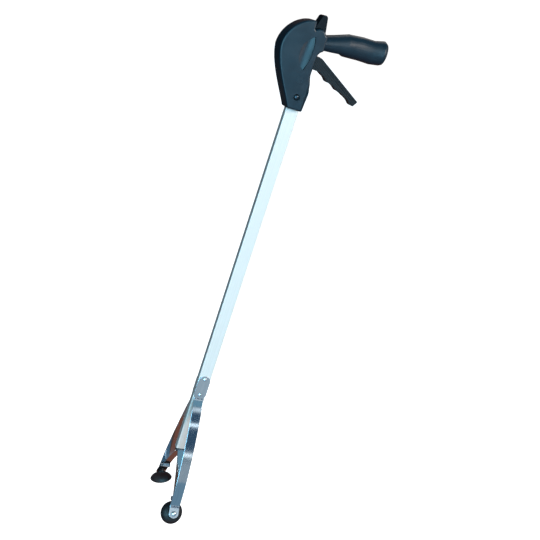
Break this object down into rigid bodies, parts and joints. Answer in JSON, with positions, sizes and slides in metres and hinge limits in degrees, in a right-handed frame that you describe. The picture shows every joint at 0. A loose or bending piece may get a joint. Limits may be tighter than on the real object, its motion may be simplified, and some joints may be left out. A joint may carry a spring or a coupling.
{
  "type": "reaching aid",
  "caption": "Long-reach pick-up tool: pistol-style grip and trigger, flat aluminium tube, and two sprung steel jaws that end in rubber suction cups.",
  "frame": {"origin": "on the tube axis, level with the lower end of the handle's nose", "axes": "+Z along the tube from the jaws to the handle, +X towards the end of the grip, jaws open along +Y and -Y"},
  "size_m": [0.1495, 0.1206, 0.7618],
  "materials": {
    "housing_plastic": "satin moulded, fine grain",
    "trigger_plastic": "satin moulded",
    "lock_plastic": "satin moulded",
    "tube_aluminium": "clear anodised, satin",
    "spring_steel": "bright rolled strip",
    "steel_hardware": "bright",
    "blacked_screw": "black, satin",
    "rivet_aluminium": "bright",
    "cup_rubber": "smooth, satin",
    "slider_plastic": "moulded"
  },
  "bodies": {
    "frame": {"near_housing_shell": "housing_plastic", "far_housing_shell": "housing_plastic", "housing_screws": "steel_hardware", "tube_screws": "blacked_screw", "flat_tube": "tube_aluminium", "trigger_pivot_pin": "steel_hardware", "lock_pivot_pin": "steel_hardware", "near_finger_root": "spring_steel", "far_finger_root": "spring_steel", "finger_rivets": "rivet_aluminium"},
    "trigger": {"trigger_lever": "trigger_plastic"},
    "lock": {"lock_lever": "lock_plastic"},
    "rod": {"pull_rod": "steel_hardware", "rod_yoke": "steel_hardware", "rod_cross_pin": "steel_hardware", "crosshead": "slider_plastic", "crosshead_pins": "steel_hardware"},
    "near_jaw": {"near_finger": "spring_steel", "near_tip_pin": "steel_hardware", "near_suction_cup": "cup_rubber", "near_cup_rivet": "rivet_aluminium"},
    "far_jaw": {"far_finger": "spring_steel", "far_tip_pin": "steel_hardware", "far_suction_cup": "cup_rubber", "far_cup_rivet": "rivet_aluminium"},
    "near_strap": {"near_pull_strap": "spring_steel"},
    "far_strap": {"far_pull_strap": "spring_steel"}
  },
  "joints": [
    {"name": "rod_slide", "type": "slide", "parent": "frame", "child": "rod", "axis": [0, 0, 1], "range_m": [0, 0.00886], "stiffness_N_per_m": 900, "springref_m": -0.004},
    {"name": "trigger_squeeze", "type": "hinge", "parent": "frame", "child": "trigger", "pos_m": [-0.0205, 0, 0.064], "axis": [0, -1, 0], "range_deg": [0, 23.39]},
    {"name": "near_jaw_bend", "type": "hinge", "parent": "frame", "child": "near_jaw", "pos_m": [0, -0.00525, -0.446], "axis": [1, 0, 0], "range_deg": [0, 13.02]},
    {"name": "far_jaw_bend", "type": "hinge", "parent": "frame", "child": "far_jaw", "pos_m": [0, 0.00525, -0.446], "axis": [-1, 0, 0], "range_deg": [0, 13.02]},
    {"name": "near_strap_swing", "type": "hinge", "parent": "rod", "child": "near_strap", "pos_m": [0, -0.00155, -0.537], "axis": [1, 0, 0], "range_deg": [0, 30.04]},
    {"name": "far_strap_swing", "type": "hinge", "parent": "rod", "child": "far_strap", "pos_m": [0, 0.00155, -0.537], "axis": [-1, 0, 0], "range_deg": [0, 30.04]},
    {"name": "lock_rock", "type": "hinge", "parent": "frame", "child": "lock", "pos_m": [0.001, 0, 0.1], "axis": [0, 1, 0], "range_deg": [0, 10]}
  ],
  "couplings": [
    {"joint": "trigger_squeeze", "follows": "rod_slide", "rad_per_m": 46.036},
    {"joint": "near_jaw_bend", "follows": "rod_slide", "rad_per_m": 25.609},
    {"joint": "far_jaw_bend", "follows": "rod_slide", "rad_per_m": 25.609},
    {"joint": "near_strap_swing", "follows": "rod_slide", "rad_per_m": 59.136},
    {"joint": "far_strap_swing", "follows": "rod_slide", "rad_per_m": 59.136}
  ]
}
